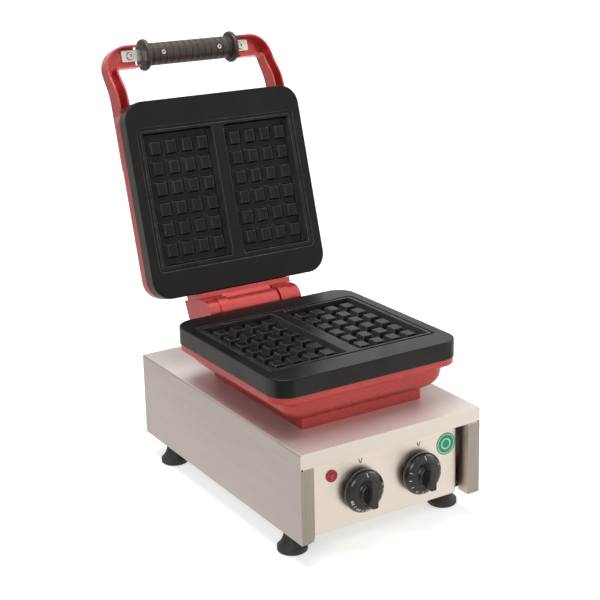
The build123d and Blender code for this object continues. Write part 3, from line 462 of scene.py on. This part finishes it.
def ceramic():
    """Unglazed white ceramic and mineral board."""
    g = Graph("ceramic")
    pores = g.noise(500.0, 5.0, 0.65)
    tint = g.blend(g.span(pores, 0.35, 0.75, 0.0, 1.0), *CERAMIC)
    g.set(Base_Color=tint, Roughness=g.span(pores, 0.3, 0.7, 0.6, 0.85))
    g.relief(pores, 0.2 * MM)
    return g.material


def dress(material, *names):
    """Give CAD nodes one material."""
    for name in names:
        slots = nodes[name].data.materials
        if not len(slots):
            slots.append(material)
        for index in range(len(slots)):
            slots[index] = material


def dress_metal():
    """Sheets, castings, plates, fixings and bars."""
    dress(cover_steel(), "cover_shell")
    # Control panel painted brighter: painted light from the front
    dress(brushed("panel_steel", STEEL_PANEL_LIT, 0.34, (60, 400, 2600), 0.05), "control_panel")
    sheet = brushed("zinc_sheet", ZINC_SHEET, 0.42, (700, 90, 700), 0.1)
    dress(sheet, "bottom_plate", "rear_panel", "lower_clamp", "upper_clamp")
    dress(turned_metal("zinc_fixings", ZINC, 0.34),
          "foot_screws", "foot_nuts", "floor_screws", "neck_nuts", "lamp_nut", "housing_bolts",
          "lower_clamp_bolts", "upper_clamp_bolts", "pin_screws", "thermostat_shaft", "timer_shaft")
    dress(turned_metal("bright_steel", STEEL_BRIGHT, 0.27), "handle_bar", "bar_screws", "grip_screws")
    dress(turned_metal("pin_steel", STEEL_PIN, 0.3), "hinge_pin", "lower_heater", "upper_heater")
    dress(red_enamel(), "lower_housing", "lid_housing")
    dress(iron_black(), "lower_plate", "upper_plate")


def dress_rest():
    """Feet, knobs, grip, switches, lamp, label and insulation."""
    dress(rubber(), "foot_front_left", "foot_front_right", "foot_back_left", "foot_back_right")
    knob = moulded("knob_black", KNOB_BLACK, 0.3, grain=1500.0, depth=0.02 * MM, edge=0.6 * MM, coat=0.25)
    dress(knob, "thermostat_knob", "timer_knob")
    grip = moulded("grip_bakelite", BAKELITE, 0.42, grain=1100.0, depth=0.04 * MM, coat=0.1)
    dress(grip, "grip_front", "grip_back")
    dress(moulded("switch_body", SWITCH, 0.5), "thermostat_body", "timer_body")
    dress(moulded("black_nylon", NYLON, 0.45), "cable_gland", "gland_nut")
    dress(ceramic(), "terminal_block", "lower_insulation", "upper_insulation")
    dress(red_lens(), "lamp_lens")
    case = moulded("lamp_case", LAMP_RED, 0.3, grain=900.0, depth=0.02 * MM, edge=0.4 * MM, coat=0.3)
    dress(case, "lamp_bezel")
    dress(printed("label_green", LABEL_GREEN, 0.42), "round_label")


# Small pieces that the CAD leaves out

def piece(name, build, material, body):
    """A new mesh piece made by a bmesh function, riding on a body."""
    bm = bmesh.new()
    build(bm)
    bmesh.ops.recalc_face_normals(bm, faces=bm.faces)
    mesh = bpy.data.meshes.new(name)
    bm.to_mesh(mesh)
    bm.free()
    for face in mesh.polygons:
        face.use_smooth = False
    thing = bpy.data.objects.new(name, mesh)
    bpy.context.scene.collection.objects.link(thing)
    mesh.materials.append(material)
    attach(thing, body)


def wall(bm, one, two):
    """Quads between two closed loops of the same length."""
    for n in range(len(one)):
        m = (n + 1) % len(one)
        bm.faces.new((one[n], one[m], two[m], two[n]))


def rounded_slab(bm, matrix, width, length, low, high, corner):
    """A small slab with round corners and a softened top edge, in matrix's frame."""
    soft = min(corner, high - low) * 0.5
    rings = [(0.0, low), (0.0, high - soft), (soft * 0.3, high - soft * 0.3), (soft, high)]
    loops = []
    for inset, z in rings:
        loop = []
        for side, end, start in ((1, 1, 0), (-1, 1, 90), (-1, -1, 180), (1, -1, 270)):
            for n in range(CORNER_STEPS + 1):
                angle = math.radians(start + 90 * n / CORNER_STEPS)
                x = side * (width / 2 - corner) + (corner - inset) * math.cos(angle)
                y = end * (length / 2 - corner) + (corner - inset) * math.sin(angle)
                loop.append(bm.verts.new(matrix @ Vector((x, y, z))))
        loops.append(loop)
    for one, two in zip(loops, loops[1:]):
        wall(bm, one, two)
    bm.faces.new(loops[-1])
    bm.faces.new(list(reversed(loops[0])))


def ring_band(bm, matrix, inner, outer, low, high):
    """A flat ring between two radii."""
    loops = []
    for radius, z in ((inner, low), (outer, low), (outer, high), (inner, high)):
        loop = []
        for n in range(RING_STEPS):
            angle = math.tau * n / RING_STEPS
            spot = Vector((radius * math.cos(angle), radius * math.sin(angle), z))
            loop.append(bm.verts.new(matrix @ spot))
        loops.append(loop)
    for one, two in zip(loops, loops[1:] + loops[:1]):
        wall(bm, one, two)


def on_panel(x, z, proud=0.0):
    """Frame on the control panel: Z out of it, Y up."""
    return Matrix.Translation((x, PANEL_FACE - proud, z)) @ Matrix.Rotation(math.radians(90), 4, "X")


def dial_place(x, degrees):
    """Frame on the dial's slope, clockwise from the top: Z out, Y away from the hub."""
    turn = Matrix.Rotation(math.radians(-degrees), 4, "Z")
    lean = Matrix.Rotation(math.radians(-DIAL_SLOPE), 4, "X")
    return on_panel(x, KNOB_Z) @ turn @ Matrix.Translation((0, DIAL_R, DIAL_H)) @ lean


def dial_ticks(x, angles):
    """Painted strokes on a dial; the first is the long one at the top."""
    def build(bm):
        for n, degrees in enumerate(angles):
            length = TICK_L * (TOP_TICK if n == 0 else 1.0)
            rounded_slab(bm, dial_place(x, degrees), TICK_W, length, -PAINT, PAINT, TICK_R)
    return build


def number_mesh(name, word, place):
    """One number as thin painted letters, in its place on the dial."""
    curve = bpy.data.curves.new(name, "FONT")
    curve.body = word
    curve.size = NUMBER_H
    curve.extrude = PAINT
    curve.offset = NUMBER_BOLD
    curve.align_x = "CENTER"
    curve.align_y = "CENTER"
    letters = bpy.data.objects.new(name, curve)
    bpy.context.scene.collection.objects.link(letters)
    letters.matrix_world = place
    bpy.context.view_layer.update()
    mesh = bpy.data.meshes.new_from_object(letters)
    mesh.transform(letters.matrix_world)
    bpy.data.objects.remove(letters)
    return mesh


def dial_numbers(name, x, numbers):
    """Plain numbers at even steps round a dial."""
    meshes = []
    for n, number in enumerate(numbers):
        meshes.append(number_mesh(name, str(number), dial_place(x, FIRST_NUMBER + NUMBER_STEP * n)))

    def build(bm):
        for mesh in meshes:
            bm.from_mesh(mesh)
    return build


def index_marks(bm):
    """Dark paint in the V above each knob."""
    for x in KNOB_X.values():
        for side in (-1, 1):
            place = Matrix.Translation((x + side * MARK_SPREAD, PANEL_FACE, MARK_Z))
            place = place @ Matrix.Rotation(math.radians(side * MARK_LEAN), 4, "Y")
            place = place @ Matrix.Rotation(math.radians(90), 4, "X")
            rounded_slab(bm, place, MARK_W, MARK_L, -MARK_SINK, MARK_PROUD, MARK_R)


def label_print(bm):
    """Two plain white rings on the round label."""
    for inner, outer in LABEL_RINGS:
        ring_band(bm, on_panel(LABEL_X, LABEL_Z, LABEL_T), inner, outer, -RING_SINK, RING_PROUD)


def small_pieces():
    """Dial paint, index marks and label print."""
    ink = printed("dial_white", INK_WHITE, 0.45)
    for kind, x in KNOB_X.items():
        body = f"{kind}_control"
        piece(f"{kind}_dial_ticks", dial_ticks(x, DIAL_TICKS[kind]), ink, body)
        if kind in DIAL_NUMBERS:
            name = f"{kind}_dial_numbers"
            piece(name, dial_numbers(name, x, DIAL_NUMBERS[kind]), ink, body)
    piece("index_marks", index_marks, printed("mark_grey", INK_GREY, 0.5), "base")
    piece("label_rings", label_print, printed("label_white", LABEL_WHITE, 0.42), "base")


# Stage

def floor():
    """Plain pale floor that keeps the object's shadow; metal sees it darker on the left."""
    bpy.ops.mesh.primitive_plane_add(size=FLOOR_SIZE, location=(0, 0, 0))
    ground = bpy.context.object
    ground.name = "floor"
    g = Graph("floor")
    grain = g.noise(3.0, 2.0)
    tint = g.blend(g.span(grain, 0.3, 0.7, 0.0, 1.0), *FLOOR_PALE)
    g.set(Base_Color=tint, Roughness=0.9, Specular_IOR_Level=0.1)
    rays = g.add("ShaderNodeLightPath")
    far = g.add("ShaderNodeVectorMath", operation="LENGTH")
    g.join(g.place, far.inputs[0])
    lift = g.span(far.outputs["Value"], 0.4, 3.0, 0.5, 1.0)
    g.set(Emission_Color=(*WHITE, 1.0))
    g.set(Emission_Strength=g.calc("MULTIPLY", lift, rays.outputs["Is Camera Ray"]))
    seen = g.add("ShaderNodeEmission")
    g.join(g.blend(g.span(g.part(g.place, 0), -1.2, 0.5, 0.0, 1.0), *FLOOR_SEEN), seen.inputs["Color"])
    surface = g.pick(rays.outputs["Is Glossy Ray"], g.shader.outputs[0], seen.outputs[0])
    g.join(surface, g.output.inputs["Surface"])
    ground.data.materials.append(g.material)


def world():
    """Even studio light; the camera sees a pale room, and metal one that is darker on its left."""
    room = bpy.data.worlds.new("studio")
    bpy.context.scene.world = room
    room.use_nodes = True
    tree = Tree(room.node_tree)
    place = tree.add("ShaderNodeTexCoord").outputs["Generated"]
    side = tree.span(tree.part(place, 0), -1.0, 0.3, 0.0, 1.0)
    rays = tree.add("ShaderNodeLightPath").outputs
    gloss = tree.background(tree.blend(side, ROOM_DARK, WARM_WHITE), 1.0)
    lit = tree.pick(rays["Is Glossy Ray"], tree.background(WARM_WHITE, FILL), gloss)
    seen = tree.pick(rays["Is Camera Ray"], lit, tree.background(ROOM_SEEN, 1.0))
    tree.join(seen, tree.add("ShaderNodeOutputWorld").inputs["Surface"])


def softbox(name, at, aim, size, power):
    """A rectangular area light aimed at a point."""
    data = bpy.data.lights.new(name, "AREA")
    data.shape = "RECTANGLE"
    data.size, data.size_y = size
    data.energy = power
    lamp = bpy.data.objects.new(name, data)
    bpy.context.scene.collection.objects.link(lamp)
    lamp.location = at
    lamp.rotation_mode = "QUATERNION"
    lamp.rotation_quaternion = (Vector(aim) - Vector(at)).to_track_quat("-Z", "Y")


def lights():
    """Large soft lamps: overhead, front left and right."""
    softbox("overhead", at=(-0.2, 0.1, 2.2), aim=(0, 0, 0.2), size=(1.3, 1.3), power=34.0)
    softbox("front_left", at=(-1.6, -1.5, 1.5), aim=(0, 0, 0.25), size=(0.9, 0.9), power=14.0)
    softbox("right", at=(1.9, -0.6, 1.2), aim=(0, 0, 0.2), size=(0.8, 1.2), power=11.0)


def camera():
    """The photograph's view."""
    yaw, pitch, roll = (math.radians(a) for a in (CAMERA_YAW, CAMERA_PITCH, CAMERA_ROLL))
    ahead = Vector((math.sin(yaw) * math.cos(pitch), math.cos(yaw) * math.cos(pitch), math.sin(pitch)))
    level = Vector((math.cos(yaw), -math.sin(yaw), 0))
    up = level.cross(ahead)
    right = level * math.cos(roll) + up * math.sin(roll)
    top = up * math.cos(roll) - level * math.sin(roll)
    data = bpy.data.cameras.new("photo")
    data.sensor_width = SENSOR
    data.lens = FOCAL
    data.shift_y = SHIFT_Y
    eye = bpy.data.objects.new("photo", data)
    bpy.context.scene.collection.objects.link(eye)
    turn = Matrix((right, top, -ahead)).transposed().to_4x4()
    eye.matrix_world = Matrix.Translation(CAMERA_AT) @ turn
    bpy.context.scene.camera = eye


dress_metal()
dress_rest()
small_pieces()
floor()
world()
lights()
camera()
bpy.context.scene.view_settings.view_transform = "Standard"
